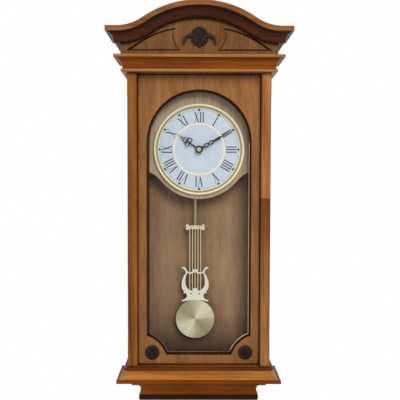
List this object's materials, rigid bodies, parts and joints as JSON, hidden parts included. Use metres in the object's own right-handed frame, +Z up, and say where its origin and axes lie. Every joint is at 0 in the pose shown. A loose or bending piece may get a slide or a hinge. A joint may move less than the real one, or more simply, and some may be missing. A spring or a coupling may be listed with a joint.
{
  "type": "pendulum wall clock",
  "caption": "Wall clock with a quartz movement: arched wooden case, glazed door on pivots, round dial, and a lyre pendulum that swings below it.",
  "frame": {"origin": "top of the keyhole slot in the hanger plate, on the wall plane, on the case's centre line", "axes": "+Z up; +Y towards the wall, out of the clock's back; -Y is the front that shows the dial; +X to the right of someone facing the clock"},
  "size_m": [0.314, 0.1125, 0.6888],
  "materials": {
    "oak": "satin varnish, mid brown",
    "frieze_wood": "satin varnish, light brown",
    "dark_oak": "satin varnish, red brown",
    "lip_wood": "satin",
    "door_veneer": "satin veneer",
    "panel_wood": "plain, matt",
    "foot_wood": "dark stain, satin",
    "carved_resin": "dark brown, satin",
    "dial_board_finish": "smooth beige lacquer",
    "steel": "satin",
    "white_plastic": "moulded",
    "dial_print": "pearly white print",
    "gilt_metal": "bright, pale gold",
    "brass": "spun and lacquered",
    "black_plastic": "moulded",
    "circuit_green": "laminate",
    "copper_wire": "enamelled wire",
    "black_metal": "satin black",
    "cell_wrap": "plain sleeve",
    "glass": "clear float glass"
  },
  "bodies": {
    "case": {"left_side_board": "oak", "right_side_board": "oak", "case_top_board": "oak", "case_floor_board": "oak", "cornice_cap_board": "oak", "base_moulding_front": "oak", "base_moulding_left": "oak", "base_moulding_right": "oak", "cornice_front": "oak", "cornice_left": "oak", "cornice_right": "oak", "frieze_board": "frieze_wood", "frieze_side_left": "frieze_wood", "frieze_side_right": "frieze_wood", "foot_moulding_front": "dark_oak", "foot_moulding_left": "dark_oak", "foot_moulding_right": "dark_oak", "crown_moulding_front": "dark_oak", "crown_return_left": "dark_oak", "crown_return_right": "dark_oak", "crown_roof_sheet": "dark_oak", "back_panel": "panel_wood", "hanging_rail": "panel_wood", "dial_board_cleat_left": "panel_wood", "dial_board_cleat_right": "panel_wood", "foot_plate": "foot_wood", "crest_ornament": "carved_resin", "dial_board": "dial_board_finish", "hanger_plate": "steel", "lower_pivot_pin": "steel", "upper_pivot_pin": "steel", "door_magnet_catch": "white_plastic", "motor_block": "white_plastic", "dial_plate": "dial_print", "dial_bezel": "gilt_metal", "mounting_nut": "brass", "movement_front_shell": "black_plastic", "movement_rear_shell": "black_plastic", "circuit_board": "circuit_green", "pendulum_drive_coil": "copper_wire"},
    "door": {"door_panel": "door_veneer", "glass_frame": "lip_wood", "door_glass": "glass", "rosette_left": "carved_resin", "rosette_right": "carved_resin", "catch_strike_plate": "steel"},
    "minute_hand": {"minute_hand": "black_metal", "minute_arbor": "steel", "hand_nut": "brass"},
    "hour_hand": {"hour_hand": "black_metal", "hour_wheel": "white_plastic"},
    "motion_wheel": {"motion_wheel": "white_plastic"},
    "set_knob": {"set_knob": "white_plastic"},
    "pendulum": {"pendulum_hanger_arm": "black_plastic", "pendulum_magnet": "steel", "pendulum_rod": "gilt_metal", "lyre_rod_grid": "gilt_metal", "lyre_frame": "gilt_metal", "pendulum_bob": "brass"},
    "battery": {"battery_cell": "cell_wrap"}
  },
  "joints": [
    {"name": "door_hinge", "type": "hinge", "parent": "case", "child": "door", "pos_m": [0.0995, -0.0613, -0.297], "axis": [0, 0, 1], "range_deg": [0, 90]},
    {"name": "minute_spin", "type": "hinge", "parent": "case", "child": "minute_hand", "pos_m": [0, -0.04, -0.1728], "axis": [0, 1, 0], "continuous": true},
    {"name": "hour_spin", "type": "hinge", "parent": "case", "child": "hour_hand", "pos_m": [0, -0.04, -0.1728], "axis": [0, 1, 0], "continuous": true},
    {"name": "motion_wheel_spin", "type": "hinge", "parent": "case", "child": "motion_wheel", "pos_m": [0, -0.028, -0.1603], "axis": [0, 1, 0], "continuous": true},
    {"name": "set_knob_spin", "type": "hinge", "parent": "case", "child": "set_knob", "pos_m": [0, -0.015, -0.1478], "axis": [0, 1, 0], "continuous": true},
    {"name": "pendulum_swing", "type": "hinge", "parent": "case", "child": "pendulum", "pos_m": [-0.0065, -0.018, -0.167], "axis": [0, 1, 0], "range_deg": [-4, 4]},
    {"name": "battery_slide", "type": "slide", "parent": "case", "child": "battery", "axis": [0, 1, 0], "range_m": [0, 0.03]}
  ],
  "couplings": [
    {"joint": "hour_spin", "follows": "minute_spin", "ratio": 0.083333},
    {"joint": "motion_wheel_spin", "follows": "minute_spin", "ratio": -0.33333},
    {"joint": "set_knob_spin", "follows": "minute_spin", "ratio": 1}
  ]
}
